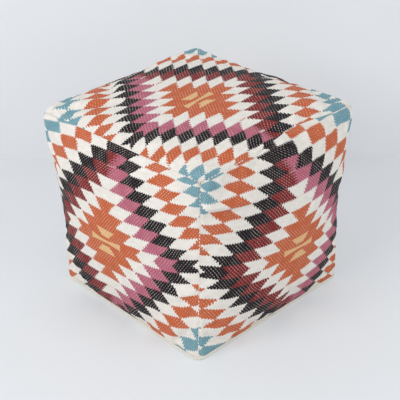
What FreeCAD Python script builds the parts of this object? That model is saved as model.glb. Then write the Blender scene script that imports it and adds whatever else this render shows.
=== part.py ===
import FreeCAD, Part
import math
import os

# A cube pouf: five flat-woven panels and a canvas base sewn into a cover, a zip underneath,
# and a bag of polystyrene beads inside.
#
# Millimetres, +Z up. The origin is the middle of the base, on the floor. The front faces -Y.
# Each seam lies in a mitre plane between two panels. All the mitre planes meet in one point on
# the Z axis, so a panel is the part of the cover that lies in its own pyramid around that point.

# Filled cover
TOP_WIDTH = 392.0          # edge to edge across the top
BASE_WIDTH = 363.0         # the filled cube narrows towards the floor
EDGE_HEIGHT = 358.5        # floor to the top edges
TOP_CROWN = 9.5            # how far the beads push the middle of the top up
SIDE_CROWN = 17.5          # and the middle of each side out
EDGE_SAG = (2.0, 3.0, 10.0, 5.0)    # the front, right, back and left top edges sink and draw in
CORNER_PULL = 8.8          # the corner seams draw in at half height
EDGE_BEVEL = 8.2           # legs of the bevel that stands for the soft roundness of each edge
CORNER_ROUND = 18.0        # the top corners are blunted this far in
BASE_SEAM = 8.0            # the canvas turns up round the lower edges to this height
BASE_TRIM = 0.4            # flattens the base where it stands on the floor

# Cloth
WEAVE_THICK = 3.0          # flat-woven panel
CANVAS_THICK = 1.2         # plain cotton base
LINER_THICK = 0.8          # bag that holds the beads
SEAM_ALLOWANCE = 9.0       # cloth turned in behind each seam
FACE_GAP = 0.1             # between two cloths sewn face to face
SEAM_GROOVE = 1.0          # half width of the groove that a seam's thread lies in
THREAD_HALF = 0.8          # half width of the thread
THREAD_SINK = 0.4          # how far the thread lies under the face of the cloth

# Zip across the base, along X
TAPE_LENGTH = 290.0
ZIP_RISE = 8.0             # the canvas is drawn up along the zip, so the slider clears the floor
VALLEY_FOOT = 42.0         # half width of that valley at the floor
VALLEY_HEAD = 17.0         # and at the zip
VALLEY_RAMP = 26.0         # length of the slope at each end of the valley
SLOT_HALF = 7.0            # half width of the opening between the canvas edges
TAPE_THICK = 0.6
TAPE_EDGE = 16.0           # outer edge of a tape, from the middle of the zip
ROW_BACK = 2.9             # outer side of a tooth row, from the middle
ROW_SPINE = 1.6            # where the teeth grow out of the row
ROW_TIP = 0.6              # teeth stop here, so the slider's divider passes between the rows
TOOTH_PITCH = 3.6
TOOTH_LENGTH = 2.2
TOOTH_DEPTH = 2.4          # through the tape
STOP_LENGTH = 3.0
STOP_DEPTH = 4.0
ZIP_TRAVEL = 255.0         # closed to open

# Slider and pull
SLIDER_LENGTH = 13.0
SLIDER_HEAD = 9.6          # width at the end that parts the teeth
SLIDER_TAIL = 8.4          # width at the end that closes them
SLIDER_PLATE = 1.3
CLEARANCE = 0.4            # around the teeth and the tapes
DIVIDER_LENGTH = 3.5
DIVIDER_HALF = 0.35
BRIDGE_LENGTH = 9.0        # loop under the slider that carries the pull
BRIDGE_WIDTH = 3.0
BRIDGE_DROP = 3.4
BRIDGE_BAR = 1.0
PULL_LENGTH = 28.0         # from its pin to its tip
PULL_WIDTH = 7.2
PULL_THICK = 1.4
PULL_PIN = 0.8             # radius of the pin through the bridge
PULL_EYE = 6.4             # from the pin to the solid part of the pull
PULL_HOLE = 1.6            # radius of the finger cord's hole near the tip
FLOOR_GAP = 0.4            # the pull's tip rests this far off the floor

# Bead bag
LINER_GAP = 1.0            # between the panels and the bag
LINER_BEVEL = 26.0         # the bag's edges stay clear of the seam allowances
LINER_FOOT = 1.4           # underside of the bag, on the canvas
LINER_CAP = 40.0           # height of the bag's top and base pieces
LINER_VALLEY = 6.0         # the bag stays this far off the canvas above the zip
FILL_GAP = 0.1

# Worked out from the above
FAR = 600.0                # well outside the part
DIAGONAL = math.sqrt(2.0)
SIDES = ("front", "right", "back", "left")
CORNERS = ((-1, -1), (1, -1), (1, 1), (-1, 1))
FACE_DEGREE = 5            # of the curved faces, so that a drawn-in edge leaves their middle as it is
TRIM_WIDTH = 160.0         # of the round blocks that bevel the edges
MITRE_CENTRE = EDGE_HEIGHT - TOP_WIDTH / 2
TAPE_END = TAPE_LENGTH / 2
TAPE_LOW = ZIP_RISE + CANVAS_THICK
TAPE_MID = TAPE_LOW + TAPE_THICK / 2
CHANNEL = TOOTH_DEPTH / 2 + CLEARANCE
SLIDER_FLOOR = TAPE_MID - CHANNEL - SLIDER_PLATE
SLIDER_HEIGHT = 2 * (CHANNEL + SLIDER_PLATE)
TEETH_START = -TAPE_END + STOP_LENGTH + 1.0
SLIDER_REST = TEETH_START + SLIDER_LENGTH / 2
TEETH_END = SLIDER_REST + SLIDER_LENGTH / 2 + ZIP_TRAVEL
PIN_HEIGHT = SLIDER_FLOOR - (BRIDGE_DROP - BRIDGE_BAR) / 2


def vector(x, y, z):
    return FreeCAD.Vector(x, y, z)


def block(x_size, y_size, low, high, x=0.0, y=0.0):
    corner = vector(x - x_size / 2, y - y_size / 2, low)
    return Part.makeBox(x_size, y_size, high - low, corner)


def outline(points):
    return Part.makePolygon([*points, points[0]])


def rectangle(half_x, half_y, z):
    return outline([vector(i * half_x, j * half_y, z) for i, j in CORNERS])


def turned(shape, degrees):
    copy = shape.copy()
    copy.rotate(vector(0, 0, 0), vector(0, 0, 1), degrees)
    return copy


def around(point, quarters):
    """A point or direction of the front, taken round to another side."""
    return FreeCAD.Rotation(vector(0, 0, 1), 90 * quarters).multVec(point)


def edges_along(shape, direction, below=FAR):
    found = []
    for edge in shape.Edges:
        straight = abs(edge.tangentAt(edge.FirstParameter).dot(direction)) > 0.9
        if straight and edge.CenterOfMass.z < below:
            found.append(edge)
    return found


# The form of the filled cover, and the regions that its seams divide it into

def crowned_face(first, last, push, pulls):
    """A face between two edges, each given by its ends, with its middle pushed out.

    The pulls draw in the middles of its first, last, left and right edges.
    """
    (a, b), (c, d) = first, last
    middle = (a + b + c + d) / 4 + push * 4
    poles = [[a, (a + b) / 2, b], [(a + c) / 2, middle, (b + d) / 2], [c, (c + d) / 2, d]]
    face = Part.BezierSurface()
    face.increase(2, 2)
    for i in range(3):
        for j in range(3):
            face.setPole(i + 1, j + 1, poles[i][j])
    face.increase(FACE_DEGREE, FACE_DEGREE)
    for k in range(1, FACE_DEGREE):
        share = 4.0 * k * (FACE_DEGREE - k) / (FACE_DEGREE * (FACE_DEGREE - 1))
        end = FACE_DEGREE + 1
        for (i, j), pull in zip(((1, k + 1), (end, k + 1), (k + 1, 1), (k + 1, end)), pulls):
            face.setPole(i, j, face.getPole(i, j) + pull * share)
    return face.toShape()


def half_space(point, normal):
    """Everything beyond a plane."""
    space = Part.makeBox(2 * FAR, 2 * FAR, FAR, vector(-FAR, -FAR, 0))
    space.Placement = FreeCAD.Placement(point, FreeCAD.Rotation(vector(0, 0, 1), normal))
    return space


def edge_trim(start, end, pull, depth):
    """A round block that bevels an edge to a depth, where the edge's middle is drawn in by pull."""
    along = end - start
    outward = along * (pull.dot(along) / along.dot(along)) - pull
    outward.normalize()
    across = along.cross(outward).normalize()
    radius = along.Length ** 2 / (8 * pull.Length)
    centre = (start + end) / 2 + pull + outward * (radius - depth)
    return Part.makeCylinder(radius, TRIM_WIDTH, centre - across * (TRIM_WIDTH / 2), across)


def pillow(inset, bevel, low):
    """The crowned cube with every face moved in by inset and its edges bevelled, standing at low."""
    top, base, high = TOP_WIDTH / 2 - inset, BASE_WIDTH / 2 - inset, EDGE_HEIGHT - inset
    upper = [vector(i * top, j * top, high) for i, j in CORNERS]
    lower = [vector(i * base, j * base, low) for i, j in CORNERS]
    draws = [vector(-i, -j, 0) * CORNER_PULL for i, j in CORNERS]
    sinks = [around(vector(0, sag, -sag), side) for side, sag in enumerate(EDGE_SAG)]
    still = vector(0, 0, 0)
    depth, blunt = bevel / DIAGONAL, CORNER_ROUND - inset * (math.sqrt(3.0) - 1)
    faces, trims = [], []
    for side in range(4):
        end = (side + 1) % 4
        push, pulls = around(vector(0, -SIDE_CROWN, 0), side), (still, sinks[side], draws[side], draws[end])
        faces.append(crowned_face((lower[side], lower[end]), (upper[side], upper[end]), push, pulls))
        trims.append(edge_trim(upper[side], upper[end], sinks[side], depth))
        trims.append(edge_trim(lower[side], upper[side], draws[side], depth))
        foot = vector(0, bevel / 2 - base, low + bevel / 2)
        trims.append(half_space(around(foot, side), around(vector(0, -1, -1), side)))
        outward = around(vector(-1, -1, 1), side).normalize()
        trims.append(half_space(upper[side] - outward * blunt, outward))
    rim = (sinks[0], sinks[2], sinks[3], sinks[1])
    faces.append(crowned_face(upper[:2], upper[3:1:-1], vector(0, 0, TOP_CROWN), rim))
    faces.append(crowned_face(lower[:2], lower[3:1:-1], still, (still,) * 4))
    shell = Part.Shell(faces)
    shell.sewShape()
    return Part.Solid(Part.Shell(shell.Faces)).cut(trims)


def cloth_line(inset, low=None):
    """The cover's form at a depth of inset into the cloth."""
    bevel = EDGE_BEVEL - inset * (2 - DIAGONAL)
    return pillow(inset, bevel, inset if low is None else low)


def top_region(inset):
    """The pyramid of the top panel, drawn in by inset from the mitre planes."""
    apex = MITRE_CENTRE + inset * DIAGONAL
    return Part.makeLoft([Part.Vertex(0, 0, apex), rectangle(FAR - apex, FAR - apex, FAR)], True, True)


def side_region(inset):
    """The same for the front panel: between two corner seams, the top seam and the base seam."""
    apex, low = -inset * DIAGONAL, BASE_SEAM + inset
    plan = outline([vector(0, apex, low), vector(-FAR - apex, -FAR, low), vector(FAR + apex, -FAR, low)])
    return Part.Face(plan).extrude(vector(0, 0, FAR)).cut(top_region(-inset))


# Five woven panels, each with its seam allowances turned in

def woven_panel(region, skin, lining):
    face = skin.common(region(SEAM_GROOVE))
    allowance = lining.common(region(FACE_GAP).cut(region(FACE_GAP + WEAVE_THICK)))
    return face.fuse(allowance).removeSplitter()


def woven_panels(outer, deep):
    inner = cloth_line(WEAVE_THICK)
    skin, lining = outer.cut(inner), inner.cut(deep)
    panels = {"top_panel": woven_panel(top_region, skin, lining)}
    for count, name in enumerate(SIDES):
        def region(inset):
            return turned(side_region(inset), 90 * count)

        panels[name + "_panel"] = woven_panel(region, skin, lining)
    return panels


# Sewing thread in the groove of each seam

def seam_threads():
    groove = cloth_line(THREAD_SINK).cut(cloth_line(WEAVE_THICK - FACE_GAP))
    ring = top_region(-THREAD_HALF).cut(top_region(THREAD_HALF))
    threads = {"top_seam_thread": groove.common(ring)}
    low = BASE_SEAM + THREAD_HALF + FACE_GAP
    upright = turned(block(FAR, 2 * THREAD_HALF, low, FAR, x=FAR / 2), -45)
    upright = upright.cut(top_region(-THREAD_HALF - FACE_GAP))
    for count, name in enumerate(("front_right", "back_right", "back_left", "front_left")):
        threads[name + "_corner_thread"] = groove.common(turned(upright, 90 * count))
    groove = cloth_line(THREAD_SINK).cut(cloth_line(CANVAS_THICK - FACE_GAP))
    low, high = BASE_SEAM - THREAD_HALF, BASE_SEAM + THREAD_HALF
    threads["base_seam_thread"] = groove.common(block(FAR, FAR, low, high))
    start = TAPE_END + VALLEY_RAMP
    seam = groove.common(block(FAR, 2 * THREAD_HALF, -1, low - FACE_GAP, x=start + FAR / 2))
    threads["base_centre_thread"] = Part.makeCompound([seam, turned(seam, 180)])
    return threads


# Canvas base in two halves, drawn up into a valley along the zip

def valley(grow):
    """The hollow under the base along the zip, larger by grow."""
    head = rectangle(TAPE_END + grow, VALLEY_HEAD + grow, ZIP_RISE + grow)
    foot = rectangle(TAPE_END + VALLEY_RAMP * 1.125 + grow, VALLEY_FOOT + grow + 3, -1)
    return Part.makeLoft([foot, head], True, True)


def base_panels(outer):
    inner = cloth_line(CANVAS_THICK)
    tray = block(FAR, FAR, -2, BASE_SEAM - SEAM_GROOVE).fuse(block(FAR / 1.7, FAR / 6, -2, 2 * ZIP_RISE))
    sheet = outer.cut(valley(0)).common(tray).cut(inner.cut(valley(CANVAS_THICK)))
    high = BASE_SEAM - FACE_GAP
    hollow = BASE_WIDTH - 2 * (WEAVE_THICK + SEAM_ALLOWANCE)
    allowance = inner.common(block(FAR, FAR, high - CANVAS_THICK, high)).cut(block(hollow, hollow, 0, FAR))
    opening = block(TAPE_LENGTH, 2 * SLOT_HALF, -2, 2 * ZIP_RISE)
    parting = block(FAR, 2 * SEAM_GROOVE, -2, 2 * ZIP_RISE)
    whole = sheet.fuse(allowance).cut(opening.fuse(parting))
    back = whole.common(block(FAR, FAR, -2, FAR, y=FAR / 2))
    return {"base_panel_back": back, "base_panel_front": turned(back, 180)}


# Zip: tapes, stitching, tooth rows and stops

def zip_strip(side):
    width, middle = TAPE_EDGE - ROW_BACK, side * (TAPE_EDGE + ROW_BACK) / 2
    return block(TAPE_LENGTH, width, TAPE_LOW, TAPE_LOW + TAPE_THICK, y=middle)


def zip_stitching(side):
    return block(TAPE_LENGTH, 1.0, ZIP_RISE - 0.5, ZIP_RISE, y=side * (SLOT_HALF + TAPE_EDGE) / 2)


def tooth_row(side):
    """A comb: one spine on the tape's edge with a tooth at every pitch."""
    low = TAPE_MID - TOOTH_DEPTH / 2
    start = TEETH_START + (TOOTH_PITCH / 2 if side > 0 else 0.0)
    count = int((TEETH_END - start - TOOTH_LENGTH) / TOOTH_PITCH) + 1
    tooth = ((0, ROW_SPINE), (0.4, ROW_TIP), (TOOTH_LENGTH - 0.4, ROW_TIP), (TOOTH_LENGTH, ROW_SPINE))
    points = [vector(start, side * ROW_BACK, low)]
    for x in (start + i * TOOTH_PITCH for i in range(count)):
        points += [vector(x + along, side * across, low) for along, across in tooth]
    points.append(vector(points[-1].x, side * ROW_BACK, low))
    return Part.Face(outline(points)).extrude(vector(0, 0, TOOTH_DEPTH))


def zip_stops():
    low, high = TAPE_MID - STOP_DEPTH / 2, TAPE_MID + STOP_DEPTH / 2
    width, middle = ROW_BACK - ROW_TIP, (ROW_BACK + ROW_TIP) / 2
    x = TEETH_START - 1.0 - STOP_LENGTH / 2
    pair = [block(STOP_LENGTH, width, low, high, x, side * middle) for side in (-1, 1)]
    end = block(STOP_LENGTH, 2 * ROW_BACK, low, high, TEETH_END + 1.0 + STOP_LENGTH / 2)
    return {"zip_top_stops": Part.makeCompound(pair), "zip_base_stop": end}


def zip_parts():
    nodes = {}
    for name, side in (("front", -1), ("back", 1)):
        nodes["zip_tape_" + name] = zip_strip(side)
        nodes["zip_stitching_" + name] = zip_stitching(side)
        nodes["zip_teeth_" + name] = tooth_row(side)
    nodes.update(zip_stops())
    return nodes


# Slider, with the loop that carries the pull

def zip_slider():
    head, tail = SLIDER_REST - SLIDER_LENGTH / 2, SLIDER_REST + SLIDER_LENGTH / 2
    plan = ((head, -SLIDER_HEAD), (tail, -SLIDER_TAIL), (tail, SLIDER_TAIL), (head, SLIDER_HEAD))
    body = Part.Face(outline([vector(x, width / 2, SLIDER_FLOOR) for x, width in plan]))
    body = body.extrude(vector(0, 0, SLIDER_HEIGHT))
    body = body.makeFillet(1.5, edges_along(body, vector(0, 0, 1)))
    below, above = TAPE_MID - CHANNEL, TAPE_MID + CHANNEL
    teeth_way = block(FAR, 2 * (ROW_BACK + CLEARANCE), below, above)
    tape_way = block(FAR, FAR, TAPE_LOW - CLEARANCE, TAPE_LOW + TAPE_THICK + CLEARANCE)
    divider = block(DIVIDER_LENGTH, 2 * DIVIDER_HALF, below, above, head + 0.3 + DIVIDER_LENGTH / 2)
    low = SLIDER_FLOOR - BRIDGE_DROP
    bridge = block(BRIDGE_LENGTH, BRIDGE_WIDTH, low, SLIDER_FLOOR, SLIDER_REST)
    bridge = bridge.makeFillet(1.5, edges_along(bridge, vector(0, 1, 0), low + 1))
    eye = block(BRIDGE_LENGTH - 2 * BRIDGE_BAR, FAR, low + BRIDGE_BAR, SLIDER_FLOOR, SLIDER_REST)
    return body.cut([teeth_way, tape_way]).fuse([divider, bridge.cut(eye)]).removeSplitter()


# Pull, hung by its pin in the slider's loop

def zip_pull():
    half, thick = PULL_WIDTH / 2, PULL_THICK / 2
    tab = block(PULL_LENGTH + thick, PULL_WIDTH, -thick, thick, (PULL_LENGTH - thick) / 2)
    ends = [e for e in edges_along(tab, vector(0, 0, 1)) if e.CenterOfMass.x > half]
    tab = tab.makeFillet(half - 0.6, ends)
    eye = block(2 * PULL_EYE, BRIDGE_WIDTH + 2 * CLEARANCE, -PULL_THICK, PULL_THICK)
    hole = Part.makeCylinder(PULL_HOLE, 2 * PULL_THICK, vector(PULL_LENGTH - 4, 0, -PULL_THICK))
    pin = Part.makeCylinder(PULL_PIN, PULL_WIDTH, vector(0, -half, 0), vector(0, 1, 0))
    pull = tab.cut([eye, hole]).fuse(pin).removeSplitter()
    droop = math.degrees(math.asin((PIN_HEIGHT - FLOOR_GAP - thick) / PULL_LENGTH))
    pull.rotate(vector(0, 0, 0), vector(0, 1, 0), droop)
    pull.translate(vector(SLIDER_REST, 0, PIN_HEIGHT))
    return pull


# Inner bag in three pieces, and the beads in it

def bead_bag():
    inset = WEAVE_THICK + LINER_GAP
    bag = pillow(inset, LINER_BEVEL, LINER_FOOT).cut(valley(LINER_VALLEY))

    def inside(depth):
        form = pillow(inset + depth, LINER_BEVEL - depth * (2 - DIAGONAL), LINER_FOOT + depth)
        return form.cut(valley(LINER_VALLEY + depth))

    cloth = bag.cut(inside(LINER_THICK))
    low, high = LINER_FOOT + LINER_CAP, EDGE_HEIGHT - LINER_CAP
    return {
        "liner_base": cloth.common(block(FAR, FAR, 0, low)),
        "liner_wall": cloth.common(block(FAR, FAR, low + FACE_GAP, high)),
        "liner_top": cloth.common(block(FAR, FAR, high + FACE_GAP, FAR)),
        "bead_fill": inside(LINER_THICK + FILL_GAP),
    }


# The whole pouf: the cover's outside and the depth of its seam allowances drive every panel

def build():
    outer = cloth_line(0.0, -BASE_TRIM).cut(block(FAR, FAR, -10, 0))
    deep = cloth_line(WEAVE_THICK + SEAM_ALLOWANCE, CANVAS_THICK + SEAM_ALLOWANCE / 2)
    nodes = woven_panels(outer, deep)
    nodes.update(base_panels(outer))
    nodes.update(seam_threads())
    nodes.update(zip_parts())
    nodes["zip_slider"] = zip_slider()
    nodes["zip_pull"] = zip_pull()
    nodes.update(bead_bag())
    os.makedirs("parts", exist_ok=True)
    for name, shape in nodes.items():
        shape.exportStep(f"parts/{name}.step")


build()
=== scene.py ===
import math

import bmesh
import bpy
from mathutils import Matrix, Quaternion, Vector, noise


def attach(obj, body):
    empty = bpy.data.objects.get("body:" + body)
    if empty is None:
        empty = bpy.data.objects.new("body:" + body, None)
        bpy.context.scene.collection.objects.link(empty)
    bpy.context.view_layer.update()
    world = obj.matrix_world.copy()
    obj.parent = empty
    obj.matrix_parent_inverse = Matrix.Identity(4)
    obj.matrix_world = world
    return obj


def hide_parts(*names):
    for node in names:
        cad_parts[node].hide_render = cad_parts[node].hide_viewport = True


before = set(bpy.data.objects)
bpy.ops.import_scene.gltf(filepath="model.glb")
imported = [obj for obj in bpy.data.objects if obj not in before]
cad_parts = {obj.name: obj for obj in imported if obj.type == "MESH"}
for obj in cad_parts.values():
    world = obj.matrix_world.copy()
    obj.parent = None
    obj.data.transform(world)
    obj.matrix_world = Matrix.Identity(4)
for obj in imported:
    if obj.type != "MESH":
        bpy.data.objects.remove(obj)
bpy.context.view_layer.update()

# Bead filling
# Loose expanded polystyrene beads, poured into the inner bag until the pouf is firm. They have no
# form of their own: the cover makes them a cube with soft edges, pushed out in the middle of each
# side, and a little narrower at the floor than at the top.

TOP_HALF = 0.196            # metres from the middle to a side, at the top
BASE_HALF = 0.1815          # and at the base seam
BASE_SEAM = 0.0075          # height at which the woven panels meet the canvas
EDGE_HEIGHT = 0.3585        # floor to the top edges
SOFT_EDGE = 0.011           # roundness of the seamed edges
SOFT_CORNER = 0.0265        # how much rounder the cover is at its top corners
FOOT_CORNER = 0.2           # the share of that at the base corners
TOP_CROWN = 0.0093          # the top is pushed up this far in its middle
SIDE_CROWN = 0.0175         # and each side is pushed out this far
CORNER_PULL = 0.0088        # the corner seams draw in at half height
TWIST = (-1.38, 0.83)       # degrees that the base and the top are turned, one against the other
# The top edges sink and draw in along their middles. The top corners stand out, all but the front one,
# and up by a share of that.
EDGE_SAG = {"front": 0.002, "right": 0.003, "back": 0.0097, "left": 0.0047}
EARS = {(-1, -1): 0.0057, (1, -1): -0.0021, (1, 1): 0.006, (-1, 1): 0.0058}
EAR_LIFT = 0.4


def filled_form(place, inset=0.0):
    """Where a point of a cube from -1 to 1 lies on the filled pouf, and which way it faces."""
    x, y, z = place
    rise = (z + 1) / 2
    half = BASE_HALF + (TOP_HALF - BASE_HALF) * rise - inset
    high = EDGE_HEIGHT - inset
    soft = SOFT_EDGE + SOFT_CORNER * (x * y * z) ** 4 * (1.0 if z > 0 else FOOT_CORNER)
    sharp = Vector((x * half, y * half, BASE_SEAM + (high - BASE_SEAM) * rise))
    limit = half - soft
    core = Vector((min(max(sharp.x, -limit), limit), min(max(sharp.y, -limit), limit),
                   min(sharp.z, high - soft)))
    facing = (sharp - core).normalized()
    spot = core + facing * soft
    free_x, free_y, free_z = 1 - x * x, 1 - y * y, 1 - z * z
    spot.x += math.copysign(SIDE_CROWN * x ** 4 * free_y * free_z, x)
    spot.y += math.copysign(SIDE_CROWN * y ** 4 * free_x * free_z, y)
    spot.z += TOP_CROWN * free_x * free_y * max(z, 0) ** 4
    drawn_in = CORNER_PULL * (x * y) ** 2 * free_z
    way_x, way_y = (1 if x > 0 else -1), (1 if y > 0 else -1)
    near_top = max(z, 0) ** 8
    ear = EARS[way_x, way_y] * (x * y) ** 10 * near_top
    spot.x += (ear - drawn_in) * way_x
    spot.y += (ear - drawn_in) * way_y
    sag_y = near_top * EDGE_SAG["back" if y > 0 else "front"] * abs(y) ** 7 * free_x
    sag_x = near_top * EDGE_SAG["right" if x > 0 else "left"] * abs(x) ** 7 * free_y
    spot -= Vector((sag_x * way_x, sag_y * way_y, sag_x + sag_y - near_top * ear * EAR_LIFT))
    turn = Matrix.Rotation(math.radians(TWIST[0] + (TWIST[1] - TWIST[0]) * rise), 3, "Z")
    return turn @ spot, turn @ facing


ZIP_RISE = 0.008            # the base is drawn up this far along the zip
VALLEY_ENDS = (0.145, 0.171)    # and comes down to the floor between these places along X
VALLEY_SIDES = (0.017, 0.042)   # and these along Y


def ramp(value, low, high):
    """0 below low, 1 above high, and a smooth slope between."""
    share = min(max((value - low) / (high - low), 0.0), 1.0)
    return share * share * (3 - 2 * share)


def zip_valley(x, y):
    """How far the base is drawn up at a place: wholly along the zip, and not at all away from it."""
    return ZIP_RISE * (1 - ramp(abs(x), *VALLEY_ENDS)) * (1 - ramp(abs(y), *VALLEY_SIDES))


BAG_CUTS = 15               # lines across each side of the form
BAG_FOOT_IN = 0.022         # the underside lies this far inside the base seam
BAG_FOOT_HIGH = 0.004       # and this far off the floor
BAG_FOOT_LIFT = 0.006       # the bend above it is lifted clear of the canvas
BAG_OVER_ZIP = 1.8          # times as high over the zip as the canvas


def bag_form(inset):
    """A closed form inside the cover, all round and over the zip, for the beads and their bag."""
    form = bmesh.new()
    bmesh.ops.create_cube(form, size=2.0)
    bmesh.ops.subdivide_edges(form, edges=form.edges[:], cuts=BAG_CUTS, use_grid_fill=True)
    foot = BASE_HALF - BAG_FOOT_IN
    for vert in form.verts:
        place = vert.co.copy()
        vert.co = filled_form(place, inset)[0]
        on_underside, just_above = place.z < -0.99, place.z < -0.8
        if on_underside:
            vert.co.x, vert.co.y = place.x * foot, place.y * foot
            vert.co.z = BAG_FOOT_HIGH + BAG_OVER_ZIP * zip_valley(vert.co.x, vert.co.y)
        elif just_above:
            vert.co.z += BAG_FOOT_LIFT
    bmesh.ops.recalc_face_normals(form, faces=form.faces[:])
    return form


def new_piece(name, mesh_maker, material):
    """Makes an object of a finished bmesh, with its material, riding with the cover."""
    mesh = bpy.data.meshes.new(name)
    mesh_maker.to_mesh(mesh)
    mesh_maker.free()
    mesh.materials.append(material)
    mesh.polygons.foreach_set("use_smooth", [True] * len(mesh.polygons))
    mesh.polygons.foreach_set("material_index", [0] * len(mesh.polygons))
    piece = bpy.data.objects.new(name, mesh)
    bpy.context.scene.collection.objects.link(piece)
    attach(piece, "cover")
    return piece


def linear(code):
    """An sRGB hex colour as the linear colour that a shader takes."""
    parts = [int(code[i:i + 2], 16) / 255 for i in (1, 3, 5)]
    return [c / 12.92 if c <= 0.04045 else ((c + 0.055) / 1.055) ** 2.4 for c in parts] + [1.0]


def new_material(name):
    """An empty material, and the tree to add nodes to."""
    material = bpy.data.materials.new(name)
    material.use_nodes = True
    material.node_tree.nodes.clear()
    return material, material.node_tree


def add(tree, kind, inputs=(), out=0, **settings):
    """Adds a node with its settings, fills or links its inputs, and returns one of its outputs."""
    node = tree.nodes.new("ShaderNode" + kind)
    for name, value in settings.items():
        setattr(node, name, value)
    for key, value in inputs.items() if isinstance(inputs, dict) else enumerate(inputs):
        if isinstance(value, bpy.types.NodeSocket):
            tree.links.new(value, node.inputs[key])
        else:
            node.inputs[key].default_value = value
    return node.outputs[out] if node.outputs else None


# Expanded polystyrene: white beads of 2 to 4 mm, each with its own soft shine, pressed together.
BEAD = 3.5                  # millimetres
polystyrene_beads, tree = new_material("polystyrene_beads")
position = add(tree, "TexCoord", out="Object")
beads = add(tree, "TexVoronoi", {"Vector": position, "Scale": 1000 / BEAD}, out="Distance")
bead_tone = add(tree, "TexVoronoi", {"Vector": position, "Scale": 1000 / BEAD}, out="Color")
tone = add(tree, "MixRGB", [bead_tone, linear("#F4F4F1"), linear("#FBFBFA")])
relief = add(tree, "Bump", {"Strength": 0.8, "Distance": 0.0012, "Height": beads}, invert=True)
shader = add(tree, "BsdfPrincipled", {"Base Color": tone, "Roughness": 0.55, "Normal": relief})
add(tree, "OutputMaterial", [shader])

BEADS_INSIDE = 0.0128       # the filling lies this far inside the cover's form
bead_fill = new_piece("bead_filling", bag_form(BEADS_INSIDE), polystyrene_beads)
smooth = bead_fill.modifiers.new("smooth", "SUBSURF")
smooth.levels = smooth.render_levels = 1
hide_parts("bead_fill")

# Inner bag
# A plain bag of thin white polyester that holds the beads when the cover comes off. It is sewn from
# a top, a wall and a base, and stands loose inside the cover.

BAG_INSIDE = 0.0110         # the bag lies this far inside the cover's form
BAG_SEAMS = (0.0414, 0.3185)    # heights of the seams between base, wall and top
BAG_THICK = 0.0006


def wave_scale(millimetres):
    """The scale at which a wave texture has a band every so many millimetres. At 1, it is tau / 20 m."""
    return 1000 / millimetres * math.tau / 20


# Thin calendered polyester: a fine plain weave with a faint silky sheen. Real threads lie a fifth of a
# millimetre apart, and are drawn at 2 mm, so that they show.
BAG_THREAD = 2.0            # millimetres
bag_cloth, tree = new_material("white_polyester_lining")
position = add(tree, "TexCoord", out="Object")
threads = add(tree, "TexWave", {
    "Vector": position, "Scale": wave_scale(BAG_THREAD), "Distortion": 0.3})
tone = add(tree, "MixRGB", [threads, linear("#E9EAE7"), linear("#F3F3F0")])
relief = add(tree, "Bump", {"Strength": 0.2, "Distance": 0.0002, "Height": threads})
shader = add(tree, "BsdfPrincipled", {
    "Base Color": tone, "Roughness": 0.6, "Sheen Weight": 0.2, "Normal": relief})
add(tree, "OutputMaterial", [shader])

for part, low, high, flat in (("top", BAG_SEAMS[1], None, (0.44, 0.44)),
                              ("wall", *BAG_SEAMS, (1.46, 0.30)),
                              ("base", None, BAG_SEAMS[0], (0.42, 0.42))):
    bag = bag_form(BAG_INSIDE)
    for height, clear_above in ((low, False), (high, True)):
        if height is not None:
            bmesh.ops.bisect_plane(
                bag, geom=bag.verts[:] + bag.edges[:] + bag.faces[:], plane_co=(0, 0, height),
                plane_no=(0, 0, 1), clear_outer=clear_above, clear_inner=not clear_above)
    liner = new_piece("inner_bag_" + part, bag, bag_cloth)
    wall = liner.modifiers.new("cloth", "SOLIDIFY")
    wall.thickness = BAG_THICK
    wall.offset = -1
    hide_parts("liner_" + part)

# Woven cover
# Five squares of flat-woven kilim, wool wefts over cotton warps, with stepped diamonds in rows. They
# are sewn edge to edge along the top and down the corners, and the beads push them out, so the
# seams sink, the cloth puckers beside them, and a few folds run in from the corners.

# Three squares reach over the top edge, most of all at one place along it: by which share of half the
# width, and where.
OVER = {"right": (0.08, 0.2), "back": (0.11, 0.05), "left": (0.11, -0.03)}
OVER_SPREAD = 0.4           # how far along the edge they do so


def over_edge(panel, along):
    """How far a side square reaches over the top edge at a place along it."""
    share, most_at = OVER[panel]
    return share * math.exp(-((along - most_at) / OVER_SPREAD) ** 2)


def climbed(panel, along, up):
    """How high a place of a side square lies, and how far it has gone over the top edge."""
    high = up + over_edge(panel, along) * (up + 1) / 2
    return min(high, 1.0), max(high - 1.0, 0.0)


def top_square(across, up):
    """The top is sewn on a quarter turn, and gives way where a side square reaches over."""
    x, y = up, -across
    in_x = over_edge("left", y) * (1 - x) / 2 - over_edge("right", y) * (1 + x) / 2
    in_y = over_edge("back", x) * (1 + y) / 2
    return (x + in_x, y - in_y, 1.0), (in_y - y, x + in_x)


def front_square(across, up):
    """The front square keeps below the top edge."""
    return (across, -1.0, up), (across, up)


def right_square(across, up):
    """The right square lies along Y."""
    high, over = climbed("right", across, up)
    return (1.0 - over, across, high), (across, high + over)


def back_square(across, up):
    """The back square runs the other way along X."""
    high, over = climbed("back", -across, up)
    return (-across, 1.0 - over, high), (across, high + over)


def left_square(across, up):
    """The left square runs the other way along Y."""
    high, over = climbed("left", -across, up)
    return (over - 1.0, -across, high), (across, high + over)


# Each takes a place across and up a square from -1 to 1, and gives where that lies on the cube, and how
# far across and up its side it lies there.
SQUARES = {"top": top_square, "front": front_square, "right": right_square, "back": back_square,
           "left": left_square}

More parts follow.
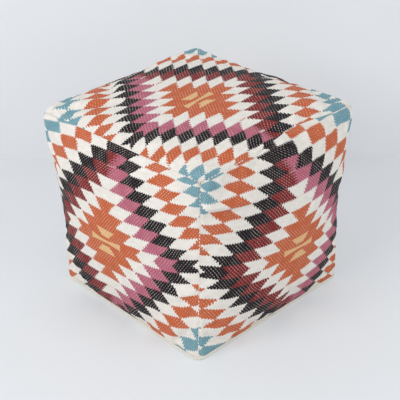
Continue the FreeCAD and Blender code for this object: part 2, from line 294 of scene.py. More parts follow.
# Folds where the cloth is dragged towards a corner: the panel, where each starts and ends on it, how
# far it stands up on one side and sinks on the other, and how wide it is.
FOLDS = (
    ("right", (-1.0, 0.66), (-0.4, 0.52), 0.0080, 0.013),
    ("right", (-0.1, 0.98), (0.2, 0.45), 0.0035, 0.016),
    ("right", (0.98, 0.35), (0.6, 0.1), 0.0040, 0.018),
    ("front", (-0.98, 0.62), (-0.5, 0.3), 0.0035, 0.015),
    ("front", (0.98, -0.2), (0.62, -0.34), 0.0030, 0.014),
    ("front", (0.1, 0.98), (0.34, 0.62), 0.0025, 0.014),
    ("top", (0.2, -0.98), (0.52, -0.5), 0.0035, 0.016),
    ("top", (0.98, 0.1), (0.6, -0.15), 0.0030, 0.015),
    ("top", (-0.9, 0.95), (-0.55, 0.6), 0.0035, 0.018),
    ("top", (0.97, -0.8), (0.45, -0.42), 0.0050, 0.012),
    ("back", (-0.98, 0.6), (-0.4, 0.42), 0.0040, 0.015),
    ("back", (0.98, 0.1), (0.6, -0.1), 0.0030, 0.016),
    ("left", (0.98, 0.55), (0.5, 0.4), 0.0040, 0.015),
    ("left", (-0.98, -0.1), (-0.6, -0.25), 0.0030, 0.016),
)
FULL_LIFT = 2.3             # makes the crest of a fold as high as it is given
FOLD_RISES, FOLD_DIES = (-0.25, 0.2), (0.45, 1.2)   # shares of its length


def fold_rise(panel, across, up):
    """How far the folds of a panel lift the cloth at a place of it."""
    rise = 0.0
    for where, start, end, high, wide in FOLDS:
        if where == panel:
            run = Vector(end) - Vector(start)
            from_start = Vector((across, up)) - Vector(start)
            share = from_start.dot(run) / run.length_squared
            off = (run.x * from_start.y - run.y * from_start.x) / run.length * TOP_HALF / wide
            fade = ramp(share, *FOLD_RISES) * (1 - ramp(share, *FOLD_DIES))
            rise += high * FULL_LIFT * off * math.exp(-off * off) * fade
    return rise


# How each square lies on its side: the woven place at the middle of the side, in half cells across and
# rows up, and how many of each reach from there to a seam. They lean and slope, bow, twist and sway
# towards the seams, and are dragged along the top seam and drawn into some corners. A square sewn
# upside down counts its rows downwards, so its slanting twill leans the other way.
HALF_CELL = 20.0            # millimetres
ROW = 23.5
LAY = {
    "top": {"middle": (-0.8, -0.7), "reach": (10.9, 8.8), "lean": -0.5, "slope": -0.6,
            "bow": (0.4, 0.2), "twist": (0.4, 0.2), "sway": (0.0, 0.0), "drag": 0.0,
            "drawn": {(1, 1): 0.2, (-1, -1): 0.5, (1, -1): 0.4}},
    "front": {"middle": (0.56, 0.4), "reach": (9.5, 7.65), "lean": -0.16, "slope": -0.33,
              "bow": (0.1, 0.05), "twist": (0.45, 0.2), "sway": (-1.1, -0.6), "drag": -0.6,
              "drawn": {(1, 1): 1.1, (-1, 1): 1.2}},
    "right": {"middle": (-1.55, -1.65), "reach": (9.1, -7.7), "lean": 0.4, "slope": -0.75,
              "bow": (0.75, 0.7), "twist": (0.85, 0.45), "sway": (1.45, -0.3), "drag": 0.9,
              "drawn": {(-1, 1): 1.8, (1, -1): 2.2}},
    "back": {"middle": (-0.1, -0.2), "reach": (9.4, 7.7), "lean": 0.3, "slope": 0.2,
             "bow": (-0.3, 0.2), "twist": (0.3, -0.2), "sway": (0.4, -0.3), "drag": 0.4,
             "drawn": {(-1, 1): 0.6}},
    "left": {"middle": (0.6, 0.3), "reach": (9.4, -7.7), "lean": -0.3, "slope": 0.2,
             "bow": (0.2, -0.3), "twist": (-0.3, 0.2), "sway": (-0.5, 0.3), "drag": -0.4,
             "drawn": {(1, 1): 0.6}},
}
WEAVE_SPAN = 32.0           # half cells or rows across the whole of a weave map


def woven_place(panel, across, up):
    """A place of a panel on its weave map."""
    lay = LAY[panel]
    far, skew = across * across + up * up, across * up
    cells = lay["middle"][0] + lay["reach"][0] * across + lay["lean"] * up
    rows = lay["middle"][1] + lay["reach"][1] * up + lay["slope"] * across
    cells += lay["bow"][0] * far + lay["twist"][0] * skew + lay["sway"][0] * up ** 3
    cells += lay["drag"] * (1 - across * across) * max((1 + up) / 2, 0) ** 4
    rows += lay["bow"][1] * far + lay["twist"][1] * skew + lay["sway"][1] * across ** 3
    for (side, end), drawn in lay["drawn"].items():
        near = ((1 + side * across) * (1 + end * up) / 4) ** 3
        cells += drawn * near * side
        rows += drawn * near * end * math.copysign(HALF_CELL / ROW, lay["reach"][1])
    return 0.5 + cells / WEAVE_SPAN, 0.5 + rows / WEAVE_SPAN


GRID = 72                   # lines across a panel
GRID_CROWD = 0.42           # how much closer the lines lie beside the seams
SEAM_DIP = 0.0018           # the seam sinks this far
SEAM_REACH = 0.0055         # and draws the cloth down this far to each side
SEAM_CALM = 0.02            # the cloth gets uneven over this distance from it
LUMP = 0.0022               # how far the beads make the cloth uneven
LUMPS = 9, 22, 55           # how many such lumps to the metre: large, middling and small ones
cover = bmesh.new()
weave_map = cover.loops.layers.uv.new("weave")
for number, (panel, square) in enumerate(SQUARES.items()):
    grid = bmesh.ops.create_grid(cover, x_segments=GRID, y_segments=GRID, size=1.0)["verts"]
    lines = {}
    for vert in grid:
        across, up = [t + GRID_CROWD * math.sin(math.pi * t) / math.pi for t in vert.co.xy]
        place, lines[vert] = square(across, up)
        spot, facing = filled_form(place)
        to_seam = (1 - max(abs(across), abs(up))) * TOP_HALF
        dip = SEAM_DIP * math.exp(-(to_seam / SEAM_REACH) ** 2)
        large, middling, small = [noise.noise(spot * lumps) for lumps in LUMPS]
        uneven = LUMP * (large + 0.5 * middling + 0.25 * small) + fold_rise(panel, across, up)
        vert.co = spot + facing * (uneven * min(to_seam / SEAM_CALM, 1.0) - dip)
    for face in {face for vert in grid for face in vert.link_faces}:
        face.material_index = number
        for loop in face.loops:
            loop[weave_map].uv = woven_place(panel, *lines[loop.vert])
bmesh.ops.remove_doubles(cover, verts=cover.verts[:], dist=0.00002)
bmesh.ops.recalc_face_normals(cover, faces=cover.faces[:])

# The cover is filled: the seams hold still, the cloth between them is a little too large for its place,
# and pressure from inside makes it swell and pucker.
FILL_STEPS = 20
PUFF_LIMIT = 0.006          # the most that the cloth moves as it fills
seams = []
for vert in cover.verts:
    if vert.is_boundary or len({face.material_index for face in vert.link_faces}) > 1:
        seams.append(vert.index)
cover_mesh = bpy.data.meshes.new("cover_cloth")
cover.to_mesh(cover_mesh)
cover.free()
sewn = bpy.data.objects.new("cover_cloth", cover_mesh)
bpy.context.scene.collection.objects.link(sewn)
sewn.vertex_groups.new(name="sewn").add(seams, 1.0, "REPLACE")
cloth = sewn.modifiers.new("cloth", "CLOTH")
cloth.settings.quality = 5
cloth.settings.mass = 0.3
cloth.settings.tension_stiffness = 25
cloth.settings.compression_stiffness = 25
cloth.settings.shear_stiffness = 10
cloth.settings.bending_stiffness = 0.1
cloth.settings.use_pressure = True
cloth.settings.uniform_pressure_force = 1.5
cloth.settings.vertex_group_mass = "sewn"
cloth.settings.vertex_group_shrink = "sewn"
cloth.settings.shrink_min = -0.025
cloth.settings.shrink_max = 0.0
cloth.settings.effector_weights.gravity = 0
cloth.collision_settings.use_collision = False
cloth.point_cache.frame_end = FILL_STEPS
for step in range(FILL_STEPS):
    bpy.context.scene.frame_set(step + 1)
filled = sewn.evaluated_get(bpy.context.evaluated_depsgraph_get()).data
moves = [after.co - before.co for after, before in zip(filled.vertices, cover_mesh.vertices)]
for vert, move in zip(cover_mesh.vertices, moves):
    if move.length > 0:
        vert.co = vert.co + move * (PUFF_LIMIT * math.tanh(move.length / PUFF_LIMIT) / move.length)
bpy.data.objects.remove(sewn)
bpy.context.scene.frame_set(1)

# Weft-faced wool: dyed wefts beaten down over cream cotton warps. The eye sees matt colour in fine
# ribs, slanting edges that climb in steps, teeth along the rows, and slanting rows of pale specks
# where the warps show through the dyes. Real wefts are 1.5 mm apart and warps 3 mm. Steps, teeth and
# specks are drawn coarser, so that they show, and most of all on the top, which the eye sees aslant.
CREAM, ORANGE, TAN, PINK = "#E9E3DB", "#C36139", "#DEB27E", "#B46275"
MAROON, CHARCOAL, TEAL, WARP = "#7D2424", "#1B1319", "#6F9BA7", "#E2DAD0"
RINGS = ORANGE, CREAM, PINK, CHARCOAL, CREAM, ORANGE, CREAM, TEAL, CREAM    # from the middle outwards
TOOTH, STEP, SPECK_ACROSS, SPECK_UP = 4.0, 3.9, 5.3, 7.2    # millimetres
COARSE_ON_SIDES, COARSE_ON_TOP = 1.18, 1.35
# The weaver's hand strays over stretches of 32 mm, dye lots show as streaks of 14 mm by 7, and the warps
# show through in patches of 19 mm: how many of each go into the weave map.
MAP_WIDE, MAP_HIGH = WEAVE_SPAN * HALF_CELL, WEAVE_SPAN * ROW
STRETCHES, PATCHES = MAP_WIDE / 32, MAP_WIDE / 18.82
STREAKS = MAP_WIDE / 14.22, MAP_HIGH / 6.836, 1.0
# These are in half cells across and rows up.
STRAY_ACROSS, STRAY_UP = 0.4, 0.24
NARROWEST = 0.35            # no cell ends in a tip narrower than this to each side of the middle
CENTRE = 3.4                # half the width of the orange in the middle
MIDDLE_ROW = 0.6            # half the height of the middle row; the others are one row each
MIDDLE_OUT = 0.3            # how far its edges have climbed where it starts
TOOTH_HIGH = 0.13
INTERLOCK = 0.8             # how deep the wefts of two colours go into each other
GLASS_WAIST, GLASS_FLARE, GLASS_FROM, GLASS_TO = 0.1, 1.1, 0.3, 1.05
BOW_WAIST, BOW_FLARE, BOW_TO = 0.08, 0.1, 1.9


def kilim_wool(name, coarse):
    """The woven wool, with its steps, teeth and specks drawn a number of times as coarse."""
    wool, tree = new_material(name)
    step = STEP * coarse / ROW
    on_weave = add(tree, "UVMap", uv_map="weave")
    hand = add(tree, "TexNoise", {"Vector": on_weave, "Scale": STRETCHES, "Detail": 2.0}, out="Color")
    hand_x = add(tree, "SeparateColor", [hand], out="Red")
    hand_y = add(tree, "SeparateColor", [hand], out="Green")
    flat_x = add(tree, "SeparateXYZ", [on_weave], out="X")
    flat_y = add(tree, "SeparateXYZ", [on_weave], out="Y")
    low_x, low_y = -(WEAVE_SPAN + STRAY_ACROSS) / 2, -(WEAVE_SPAN + STRAY_UP) / 2
    cells_x = add(tree, "Math", [flat_x, WEAVE_SPAN, low_x], operation="MULTIPLY_ADD")
    cells_y = add(tree, "Math", [flat_y, WEAVE_SPAN, low_y], operation="MULTIPLY_ADD")
    x = add(tree, "Math", [hand_x, STRAY_ACROSS, cells_x], operation="MULTIPLY_ADD")
    y = add(tree, "Math", [hand_y, STRAY_UP, cells_y], operation="MULTIPLY_ADD")
    out_x = add(tree, "Math", [x], operation="ABSOLUTE")
    out_x = add(tree, "Math", [out_x, NARROWEST], operation="MAXIMUM")
    out_y = add(tree, "Math", [y], operation="ABSOLUTE")
    # Rows counted from the middle one, with teeth along the edge between two rows.
    teeth = add(tree, "Math", [x, HALF_CELL / TOOTH / coarse], operation="MULTIPLY")
    teeth = add(tree, "Math", [teeth, 0.5], operation="PINGPONG")
    rows_up = add(tree, "Math", [teeth, TOOTH_HIGH / 0.5, out_y], operation="MULTIPLY_ADD")
    rows_up = add(tree, "Math", [rows_up, MIDDLE_ROW + TOOTH_HIGH / 2], operation="SUBTRACT")
    whole_rows = add(tree, "Math", [rows_up], operation="FLOOR")
    row = add(tree, "Math", [whole_rows, 1.0], operation="ADD")
    row = add(tree, "Math", [row, 0.0], operation="MAXIMUM")
    in_row = add(tree, "Math", [rows_up], operation="FRACT")
    in_middle_row = add(tree, "Math", [out_y, (1 - MIDDLE_OUT) / MIDDLE_ROW, MIDDLE_OUT],
                        operation="MULTIPLY_ADD")
    is_middle_row = add(tree, "Math", [rows_up, 0.0], operation="LESS_THAN")
    climb = add(tree, "Mix", {"Factor": is_middle_row, "A": in_row, "B": in_middle_row})
    climb = add(tree, "Math", [climb, step], operation="SNAP")
    # Cells are two half cells wide, and each row starts one half cell nearer the middle.
    cell = add(tree, "Math", [out_x, row], operation="ADD")
    cell = add(tree, "Math", [cell, climb], operation="SUBTRACT")
    cell = add(tree, "Math", [cell, 0.5, -0.5 * (CENTRE + step / 2)], operation="MULTIPLY_ADD")
    cell = add(tree, "Math", [cell], operation="FLOOR")
    cell_share = add(tree, "Math", [cell, 0.1, 0.15], operation="MULTIPLY_ADD")
    dyes = add(tree, "ValToRGB", [cell_share])
    dyes.node.color_ramp.interpolation = "CONSTANT"
    for number, code in enumerate(RINGS):
        stops = dyes.node.color_ramp.elements
        stop = stops[number] if number < 2 else stops.new(number / 10)
        stop.position = number / 10
        stop.color = linear(code)
    # The pink ring is maroon on one half, and the wefts interlock where the two meet.
    weft_turn = add(tree, "Math", [y, 1 / step], operation="MULTIPLY")
    weft_turn = add(tree, "Math", [weft_turn, 0.5], operation="PINGPONG")
    half_side = add(tree, "Math", [weft_turn, INTERLOCK / 0.5, x], operation="MULTIPLY_ADD")
    maroon_half = add(tree, "Math", [half_side, INTERLOCK / 2], operation="LESS_THAN")
    pink_ring = add(tree, "Math", [cell, 1.0, 0.1], operation="COMPARE")
    maroon_ring = add(tree, "Math", [pink_ring, maroon_half], operation="MULTIPLY")
    dyed = add(tree, "MixRGB", [maroon_ring, dyes, linear(MAROON)])
    # A tan hourglass and bow in the middle.
    step_y = add(tree, "Math", [out_y, step], operation="SNAP")
    glass_edge = add(tree, "Math", [step_y, GLASS_FLARE, GLASS_WAIST], operation="MULTIPLY_ADD")
    glass = add(tree, "Math", [out_x, glass_edge], operation="LESS_THAN")
    glass_tall = add(tree, "Math", [out_y, GLASS_TO], operation="LESS_THAN")
    glass_low = add(tree, "Math", [out_y, GLASS_FROM], operation="GREATER_THAN")
    glass = add(tree, "Math", [glass, glass_tall], operation="MULTIPLY")
    glass = add(tree, "Math", [glass, glass_low], operation="MULTIPLY")
    bow_edge = add(tree, "Math", [out_x, BOW_FLARE, BOW_WAIST], operation="MULTIPLY_ADD")
    bow = add(tree, "Math", [out_y, bow_edge], operation="LESS_THAN")
    bow_long = add(tree, "Math", [out_x, BOW_TO], operation="LESS_THAN")
    bow = add(tree, "Math", [bow, bow_long], operation="MULTIPLY")
    motif = add(tree, "Math", [glass, bow], operation="MAXIMUM")
    dyed = add(tree, "MixRGB", [motif, dyed, linear(TAN)])
    # Dye lots: the wool took the dye unevenly, in short streaks along the wefts.
    streaks = add(tree, "Mapping", {"Vector": on_weave, "Scale": STREAKS})
    streaks = add(tree, "TexNoise", {"Vector": streaks, "Scale": 1.0, "Detail": 3.0})
    streaks = add(tree, "MapRange", {"Value": streaks, "To Min": 0.82, "To Max": 1.14})
    dyed = add(tree, "MixRGB", {"Fac": 1.0, "Color1": dyed, "Color2": streaks}, blend_type="MULTIPLY")
    # Warps that show through: specks in slanting rows, longer along the rows than across them, and
    # stronger here than there.
    warp_x = add(tree, "Math", [x, HALF_CELL / SPECK_ACROSS / coarse], operation="MULTIPLY")
    weft_y = add(tree, "Math", [y, ROW / SPECK_UP / coarse], operation="MULTIPLY")
    slant = add(tree, "Math", [warp_x, weft_y], operation="SUBTRACT")
    slant = add(tree, "Math", [slant, 0.5], operation="PINGPONG")
    counter = add(tree, "Math", [warp_x, weft_y], operation="ADD")
    counter = add(tree, "Math", [counter, 0.5], operation="PINGPONG")
    speck = add(tree, "Math", [slant, 2.6, counter], operation="MULTIPLY_ADD")
    speck = add(tree, "MapRange", {"Value": speck, "From Min": 1.2, "From Max": 1.65})
    patchy = add(tree, "TexNoise", {"Vector": on_weave, "Scale": PATCHES, "Detail": 1.0})
    patchy = add(tree, "MapRange", {
        "Value": patchy, "From Min": 0.34, "From Max": 0.62, "To Min": 0.14, "To Max": 0.62})
    speck = add(tree, "Math", [speck, patchy], operation="MULTIPLY")
    dyed = add(tree, "MixRGB", [speck, dyed, linear(WARP)])
    # Ribs: the wefts stand up between the warps, and dip where they pass over them.
    ribs = add(tree, "Math", [slant, counter], operation="MULTIPLY")
    relief = add(tree, "Bump", {"Strength": 0.9, "Distance": 0.0022, "Height": ribs}, invert=True)
    shader = add(tree, "BsdfPrincipled", {
        "Base Color": dyed, "Roughness": 0.92, "Specular IOR Level": 0.15, "Sheen Weight": 0.05,
        "Normal": relief})
    add(tree, "OutputMaterial", [shader])
    return wool


WEAVE_THICK = 0.0024
side_wool = kilim_wool("kilim_wool_weave_sides", COARSE_ON_SIDES)
top_wool = kilim_wool("kilim_wool_weave_top", COARSE_ON_TOP)
panel_edges = {}
for number, panel in enumerate(SQUARES):
    square = bmesh.new()
    square.from_mesh(cover_mesh)
    others = [face for face in square.faces if face.material_index != number]
    bmesh.ops.delete(square, geom=others, context="FACES")
    panel_edges[panel] = [vert.co.copy() for vert in square.verts if vert.is_boundary]
    woven = new_piece("kilim_" + panel, square, top_wool if panel == "top" else side_wool)
    smooth = woven.modifiers.new("smooth", "SUBSURF")
    smooth.levels = smooth.render_levels = 1
    wall = woven.modifiers.new("cloth", "SOLIDIFY")
    wall.thickness = WEAVE_THICK
    wall.offset = -1
    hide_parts(panel + "_panel")

# Canvas base
# Two halves of plain unbleached cotton canvas, sewn to the woven panels just above the floor and to
# each other past the ends of the zip. Along the zip the canvas is drawn up off the floor.

CANVAS_GRID = 56            # lines across the base
CANVAS_CROWD = 0.7          # how much closer the lines lie at its rim
CANVAS_THICK = 0.0012
CANVAS_INSIDE = 0.0006      # the rim lies just inside the woven panels' seam
RIM_FROM = 0.94             # the share of the way out at which the canvas starts to turn up
RIM_TURN = 0.0035           # it stands up nearly straight from the floor to its seam
SLOT_END, SLOT_SIDE = 0.145, 0.007      # half the length and width of the zip's opening
PARTING = 0.0001            # past its ends the halves part this far from the middle
GROOVE_HALF, GROOVE_RISE = 0.003, 0.0014    # the centre seam turns its edges in, and lies in a groove

# Plain weave: warp and weft threads of 1.2 mm over and under, cream with small darker flecks of husk.
# Drawn at 2.4 mm, so that it shows.
CANVAS_THREAD, HUSK = 2.4, 3.125        # millimetres
canvas, tree = new_material("unbleached_cotton_canvas")
position = add(tree, "TexCoord", out="Object")
threads = {"Vector": position, "Scale": wave_scale(CANVAS_THREAD), "Distortion": 0.4}
warp = add(tree, "TexWave", threads, bands_direction="X")
weft = add(tree, "TexWave", threads, bands_direction="Y")
weave = add(tree, "Math", [warp, weft], operation="MULTIPLY")
fleck = add(tree, "TexNoise", {"Vector": position, "Scale": 1000 / HUSK, "Detail": 2.0})
fleck = add(tree, "MapRange", {"Value": fleck, "From Min": 0.64, "From Max": 0.72})
tone = add(tree, "MixRGB", [weave, linear("#E6DFD0"), linear("#F3EEE4")])
tone = add(tree, "MixRGB", [fleck, tone, linear("#C9BEA6")])
relief = add(tree, "Bump", {"Strength": 0.5, "Distance": 0.0005, "Height": weave})
shader = add(tree, "BsdfPrincipled", {
    "Base Color": tone, "Roughness": 0.9, "Specular IOR Level": 0.2, "Normal": relief})
add(tree, "OutputMaterial", [shader])

for half_name, sign in (("front", -1), ("back", 1)):
    sheet = bmesh.new()
    bmesh.ops.create_grid(sheet, x_segments=CANVAS_GRID, y_segments=CANVAS_GRID, size=1.0)
    bmesh.ops.reverse_faces(sheet, faces=sheet.faces[:])
    for vert in sheet.verts:
        across, up = [t + CANVAS_CROWD * math.sin(math.pi * t) / math.pi for t in vert.co.xy]
        reach = max(abs(across), abs(up), 1e-6)
        rim = filled_form((across / reach, up / reach, -1.0), CANVAS_INSIDE)[0]
        turn = max(reach - RIM_FROM, 0.0) / (1 - RIM_FROM) * math.pi / 2
        inset = RIM_TURN * (1 - math.sin(turn))
        share = (1 - inset / BASE_HALF) * min(reach / RIM_FROM, 1.0)
        x, y = rim.x * share, rim.y * share
        vert.co = (x, y, BASE_SEAM * (1 - math.cos(turn)) + zip_valley(x, y))
    for line, normal in ((SLOT_END, (1, 0, 0)), (-SLOT_END, (1, 0, 0)), (sign * SLOT_SIDE, (0, 1, 0)),
                         (sign * GROOVE_HALF, (0, 1, 0)), (sign * PARTING, (0, 1, 0))):
        bmesh.ops.bisect_plane(sheet, geom=sheet.verts[:] + sheet.edges[:] + sheet.faces[:],
                               plane_co=[line * part for part in normal], plane_no=normal)
    cut_away = []
    for face in sheet.faces:
        middle = face.calc_center_median()
        in_slot = abs(middle.x) < SLOT_END and middle.y * sign < SLOT_SIDE
        if in_slot or middle.y * sign < PARTING:
            cut_away.append(face)
    bmesh.ops.delete(sheet, geom=cut_away, context="FACES")
    for vert in sheet.verts:
        if abs(vert.co.y) < PARTING * 1.5:
            vert.co.z += GROOVE_RISE
    base_half = new_piece("canvas_base_" + half_name, sheet, canvas)
    wall = base_half.modifiers.new("cloth", "SOLIDIFY")
    wall.thickness = CANVAS_THICK
    wall.offset = -1
    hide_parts("base_panel_" + half_name)

# Zip
# Across the middle of the base: two woven polyester tapes sewn behind the canvas edges, each with a
# row of moulded teeth, stops at both ends, and a die-cast slider with a pull.

TAPE_LONG, TAPE_WIDE, TAPE_THICK = 0.290, 0.0131, 0.0006
TAPE_OFF = 0.00945          # from the middle of the zip to the middle of a tape
TAPE_LOW = 0.0092           # height of its lower face
TAPES_MEET = 0.137          # past the base stop, the inner edges of the tapes come together
TAPE_EDGE, TAPE_GAP = 0.003, 0.0002     # from nearer than this, to this far from the middle
TOPSTITCHES, TOPSTITCH_PITCH, TOPSTITCH_OFF = 96, 0.003, 0.0115
TOPSTITCH_LENGTH, TOPSTITCH_HALF = 0.0024, 0.0004
ALONG, DOWN = Vector((1, 0, 0)), Vector((0, 0, -1))     # how the stitches of the base run and face

# Tightly woven tape: a fine herringbone along its length, slightly silky.
RIB = 1.2                   # millimetres
tape_cloth, tree = new_material("woven_polyester_tape")
position = add(tree, "TexCoord", out="Object")
rib = add(tree, "TexWave", {"Vector": position, "Scale": wave_scale(RIB)}, bands_direction="DIAGONAL")
tone = add(tree, "MixRGB", [rib, linear("#CFC8B8"), linear("#E2DCCF")])
relief = add(tree, "Bump", {"Strength": 0.4, "Distance": 0.0003, "Height": rib})
shader = add(tree, "BsdfPrincipled", {
    "Base Color": tone, "Roughness": 0.65, "Sheen Weight": 0.2, "Normal": relief})
add(tree, "OutputMaterial", [shader])

# Mercerised cotton: two plies twisted together, off-white, with a soft shine along each stitch.
PLY = 1.11                  # millimetres
thread_cotton, tree = new_material("twisted_cotton_thread")
position = add(tree, "TexCoord", out="Object")
ply = add(tree, "TexNoise", {"Vector": position, "Scale": 1000 / PLY})
tone = add(tree, "MixRGB", [ply, linear("#DDD6C9"), linear("#F6F2EA")])
relief = add(tree, "Bump", {"Strength": 0.3, "Distance": 0.0003, "Height": ply})
shader = add(tree, "BsdfPrincipled", {"Base Color": tone, "Roughness": 0.7, "Normal": relief})
add(tree, "OutputMaterial", [shader])


def stitches(rows, length, half_thick):
    """Small rounded stitches, each given by its middle, the way it runs and the way it faces."""
    sewing = bmesh.new()
    for middle, along, facing in rows:
        made = bmesh.ops.create_uvsphere(sewing, u_segments=6, v_segments=4, radius=1.0)["verts"]
        bmesh.ops.scale(sewing, vec=(half_thick, half_thick, length / 2), verts=made)
        turn = along.to_track_quat("Z", "Y")
        bmesh.ops.rotate(sewing, cent=(0, 0, 0), matrix=turn.to_matrix(), verts=made)
        bmesh.ops.translate(sewing, vec=middle + facing * half_thick * 0.5, verts=made)
    return sewing


for half_name, sign in (("front", -1), ("back", 1)):
    strip = bmesh.new()
    bmesh.ops.create_grid(strip, x_segments=58, y_segments=4, size=0.5)
    bmesh.ops.scale(strip, vec=(TAPE_LONG, TAPE_WIDE, 1), verts=strip.verts[:])
    bmesh.ops.translate(strip, vec=(0, sign * TAPE_OFF, TAPE_LOW + TAPE_THICK), verts=strip.verts[:])
    for vert in strip.verts:
        if vert.co.x > TAPES_MEET and abs(vert.co.y) < TAPE_EDGE:
            vert.co.y = sign * TAPE_GAP
    tape = new_piece("zip_tape_strip_" + half_name, strip, tape_cloth)
    wall = tape.modifiers.new("cloth", "SOLIDIFY")
    wall.thickness = TAPE_THICK
    wall.offset = -1
    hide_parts("zip_tape_" + half_name)

    rows = []
    for number in range(TOPSTITCHES):
        x = (number - (TOPSTITCHES - 1) / 2) * TOPSTITCH_PITCH
        rows.append((Vector((x, sign * TOPSTITCH_OFF, ZIP_RISE)), ALONG, DOWN))
    sewing = stitches(rows, TOPSTITCH_LENGTH, TOPSTITCH_HALF)
    topstitch = new_piece("zip_topstitch_" + half_name, sewing, thread_cotton)
    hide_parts("zip_stitching_" + half_name)

# Acetal: smooth, slightly waxy, with faint flow marks from the mould.
FLOW_MARK = 4.17            # millimetres
SOFT_EDGES = 0.0003         # the mould and the die leave the edges this round, in metres
teeth_plastic, tree = new_material("moulded_acetal_teeth")
position = add(tree, "TexCoord", out="Object")
flow = add(tree, "TexNoise", {"Vector": position, "Scale": 1000 / FLOW_MARK, "Detail": 2.0})
tone = add(tree, "MixRGB", [flow, linear("#D6CFBF"), linear("#E6E0D3")])
rough = add(tree, "MapRange", {"Value": flow, "To Min": 0.3, "To Max": 0.5})
edges = add(tree, "Bevel", {"Radius": SOFT_EDGES}, samples=4)
shader = add(tree, "BsdfPrincipled", {
    "Base Color": tone, "Roughness": rough, "IOR": 1.48, "Normal": edges})
add(tree, "OutputMaterial", [shader])

# Die-cast zinc under a thin baked paint: beige, semi-gloss, worn to bare grey metal in small spots.
WORN_SPOT = 1.43            # millimetres
painted_zinc, tree = new_material("painted_die_cast_zinc")
position = add(tree, "TexCoord", out="Object")
wear = add(tree, "TexNoise", {"Vector": position, "Scale": 1000 / WORN_SPOT, "Detail": 3.0})
bare = add(tree, "MapRange", {"Value": wear, "From Min": 0.66, "From Max": 0.7})
tone = add(tree, "MixRGB", [bare, linear("#CFC7B4"), linear("#A9A7A2")])
rough = add(tree, "MapRange", {"Value": wear, "To Min": 0.28, "To Max": 0.5})
edges = add(tree, "Bevel", {"Radius": SOFT_EDGES}, samples=4)
shader = add(tree, "BsdfPrincipled", {
    "Base Color": tone, "Metallic": bare, "Roughness": rough, "Normal": edges})
add(tree, "OutputMaterial", [shader])

for node, finish in (("zip_teeth_front", teeth_plastic), ("zip_teeth_back", teeth_plastic),
                     ("zip_top_stops", painted_zinc), ("zip_base_stop", painted_zinc),
                     ("zip_slider", painted_zinc), ("zip_pull", painted_zinc)):
    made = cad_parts[node]
    made.data.materials.clear()
    made.data.materials.append(finish)

# Seam thread
# Off-white cotton thread. It shows as a row of small stitches down in the groove of every seam: round
# the top, down each corner, round the base and along the middle of the base past the zip.

STITCH_PITCH, STITCH_LENGTH, STITCH_HALF = 0.0065, 0.0046, 0.0008
HEART = (0.15, 0.2)         # stitches face away from the upright middle line between these heights


def along_line(points):
    """Stitches at even steps along a line of points, facing out from the middle of the pouf."""
    rows, left = [], STITCH_PITCH / 2
    for start, end in zip(points, points[1:]):
        run = (end - start).length
        while left <= run:
            spot = start.lerp(end, left / run)
            heart = Vector((0, 0, min(max(spot.z, HEART[0]), HEART[1])))
            rows.append((spot, (end - start).normalized(), (spot - heart).normalized()))
            left += STITCH_PITCH
        left -= run
    return rows


def shared_edge(first, second, order):
    """The line that two panels share, in order."""
    meeting = {tuple(round(c, 6) for c in spot) for spot in panel_edges[second]}
    return sorted((s for s in panel_edges[first] if tuple(round(c, 6) for c in s) in meeting), key=order)


sides_along = (("front", 0), ("right", 1), ("back", 0), ("left", 1))    # which axis each runs along
sewn_lines = {"top_seam_thread": []}
for panel, axis in sides_along:
    sewn_lines["top_seam_thread"] += along_line(shared_edge("top", panel, lambda spot: spot[axis]))
for name, first, second in (("front_right", "front", "right"), ("back_right", "right", "back"),
                            ("back_left", "back", "left"), ("front_left", "left", "front")):
    sewn_lines[name + "_corner_thread"] = along_line(shared_edge(first, second, lambda spot: spot.z))
sewn_lines["base_seam_thread"] = []
for panel, axis in sides_along:
    foot_line = [spot for spot in panel_edges[panel] if spot.z < BASE_SEAM + 0.0005]
    sewn_lines["base_seam_thread"] += along_line(sorted(foot_line, key=lambda spot: spot[axis]))
CENTRE_FROM, CENTRE_PITCH, CENTRE_STITCHES = 0.1485, 0.0045, 6      # to each side, past the zip
CENTRE_HIGH = 0.0013        # up in the groove of the base
sewn_lines["base_centre_thread"] = []
for side in (-1, 1):
    for number in range(CENTRE_STITCHES):
        out = CENTRE_FROM + CENTRE_PITCH * number
        spot = Vector((side * out, 0, CENTRE_HIGH + zip_valley(out, 0)))
        sewn_lines["base_centre_thread"].append((spot, ALONG, DOWN))
for name, rows in sewn_lines.items():
    seam = new_piece(name + "_stitches", stitches(rows, STITCH_LENGTH, STITCH_HALF), thread_cotton)
    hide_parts(name)

# Studio
# A pale floor and wall with one large soft lamp at the left, a weaker one at the right and an even
# sky, so that the shadow falls softly to the right. The camera looks down on the front corner.

PIVOT, AIM = Vector((0, 0, 0.1835)), Vector((0, 0, 0.166))
AZIMUTH, ELEVATION, ROLL = math.radians(45.54), math.radians(29.85), math.radians(-1.16)
DISTANCE = 1.791
to_camera = Vector((math.sin(AZIMUTH) * math.cos(ELEVATION),
                    -math.cos(AZIMUTH) * math.cos(ELEVATION), math.sin(ELEVATION)))
camera_data = bpy.data.cameras.new("camera")
camera_data.lens, camera_data.sensor_width = 90, 36     # millimetres
camera = bpy.data.objects.new("camera", camera_data)
camera.location = PIVOT + to_camera * DISTANCE
camera.rotation_mode = "QUATERNION"
looking = (AIM - camera.location).to_track_quat("-Z", "Y")
camera.rotation_quaternion = looking @ Quaternion((0, 0, 1), ROLL)
bpy.context.scene.collection.objects.link(camera)
bpy.context.scene.camera = camera

# Matt emulsion on board: an even cool white with a barely visible roller mottle.
MOTTLE = 333                # millimetres
studio_paint, tree = new_material("pale_studio_paint")
position = add(tree, "TexCoord", out="Object")
mottle = add(tree, "TexNoise", {"Vector": position, "Scale": 1000 / MOTTLE, "Detail": 2.0})
tone = add(tree, "MixRGB", [mottle, linear("#E1E4E7"), linear("#E8EBEE")])
shader = add(tree, "BsdfPrincipled", {"Base Color": tone, "Roughness": 0.9, "Specular IOR Level": 0.1})
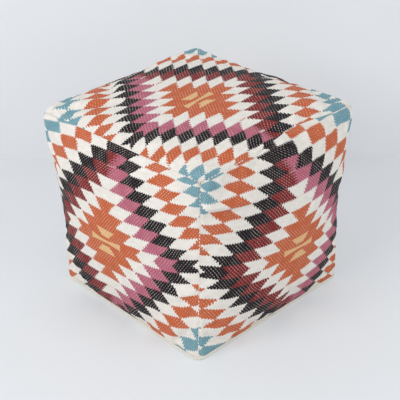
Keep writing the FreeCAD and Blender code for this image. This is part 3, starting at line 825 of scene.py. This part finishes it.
# To the eye, and in what is glossy or clear, a share of the paint is as pale as in even daylight.
DAYLIGHT_SHARE = 0.3
daylight = add(tree, "Emission", {"Color": linear("#E9ECEF"), "Strength": 1.0})
seen = add(tree, "LightPath", out="Is Camera Ray")
mirrored = add(tree, "LightPath", out="Is Glossy Ray")
through = add(tree, "LightPath", out="Is Transmission Ray")
seen = add(tree, "Math", [seen, mirrored], operation="MAXIMUM")
seen = add(tree, "Math", [seen, through], operation="MAXIMUM")
seen = add(tree, "Math", [seen, DAYLIGHT_SHARE], operation="MULTIPLY")
shader = add(tree, "MixShader", [seen, shader, daylight])
# From behind or below, the wall and the floor are clear, so that they hide nothing of the pouf.
far_side = add(tree, "NewGeometry", out="Backfacing")
clear = add(tree, "BsdfTransparent")
shader = add(tree, "MixShader", [far_side, shader, clear])
add(tree, "OutputMaterial", [shader])

WALL_AWAY, WALL_SLANT, WALL_HIGH, STAGE_HALF = 0.474, 0.032, 3.0, 4.0
GROUND = Vector((0, 0, -0.0003))        # just clear of the canvas
# The floor is open under the pouf, so that light reaches its base from below.
OPEN_HALF, OPEN_CORNER = 0.1765, 0.2435
away = Vector((-to_camera.x, -to_camera.y, 0)).normalized()
side_way = Vector((away.y, -away.x, 0))
stage = bmesh.new()
bmesh.ops.create_grid(stage, x_segments=1, y_segments=1, size=1.0)
for vert in stage.verts:
    depth = WALL_AWAY - WALL_SLANT * vert.co.x * STAGE_HALF if vert.co.y > 0 else -STAGE_HALF
    vert.co = GROUND + away * depth + side_way * vert.co.x * STAGE_HALF
far_edge = [e for e in stage.edges if all((v.co - GROUND).dot(away) > 0 for v in e.verts)]
raised = bmesh.ops.extrude_edge_only(stage, edges=far_edge)["geom"]
wall_top = [part for part in raised if isinstance(part, bmesh.types.BMVert)]
bmesh.ops.translate(stage, vec=(0, 0, WALL_HIGH), verts=wall_top)
bmesh.ops.recalc_face_normals(stage, faces=stage.faces[:])
if min(face.normal.z for face in stage.faces) < -0.5:
    bmesh.ops.reverse_faces(stage, faces=stage.faces[:])
opening = []
for eighth in range(8):
    angle = math.radians(TWIST[0] + 45 * eighth)
    way = Vector((math.cos(angle), math.sin(angle), 0))
    opening.append((way, OPEN_CORNER if eighth % 2 else OPEN_HALF))
    bmesh.ops.bisect_plane(stage, geom=stage.verts[:] + stage.edges[:] + stage.faces[:],
                           plane_co=way * opening[-1][1], plane_no=way)
under = []
for face in stage.faces:
    middle = face.calc_center_median()
    if all(middle.dot(way) < reach for way, reach in opening):
        under.append(face)
bmesh.ops.delete(stage, geom=under, context="FACES")
stage_mesh = bpy.data.meshes.new("studio_floor")
stage.to_mesh(stage_mesh)
stage.free()
stage_mesh.materials.append(studio_paint)
studio = bpy.data.objects.new("studio_floor", stage_mesh)
bpy.context.scene.collection.objects.link(studio)

world = bpy.data.worlds.new("studio_sky")
world.use_nodes = True
world.node_tree.nodes.clear()
sky = add(world.node_tree, "Background", {"Color": linear("#F6F8FA"), "Strength": 0.62})
add(world.node_tree, "OutputWorld", [sky])
bpy.context.scene.world = world

LAMPS_AIM = Vector((0, 0, 0.2))
# How far each lamp stands aside, towards the camera and up, its width and its watts.
for name, aside, toward, high, size, power in (("key_lamp", -1.4, 1.3, 1.5, 1.2, 23.0),
                                               ("fill_lamp", 1.4, 1.2, 1.1, 1.4, 10.0)):
    lamp_data = bpy.data.lights.new(name, "AREA")
    lamp_data.size = size
    lamp_data.energy = power
    lamp = bpy.data.objects.new(name, lamp_data)
    lamp.location = side_way * aside - away * toward + Vector((0, 0, high))
    lamp.rotation_mode = "QUATERNION"
    lamp.rotation_quaternion = (LAMPS_AIM - lamp.location).to_track_quat("-Z", "Y")
    bpy.context.scene.collection.objects.link(lamp)

bpy.context.scene.view_settings.view_transform = "Standard"
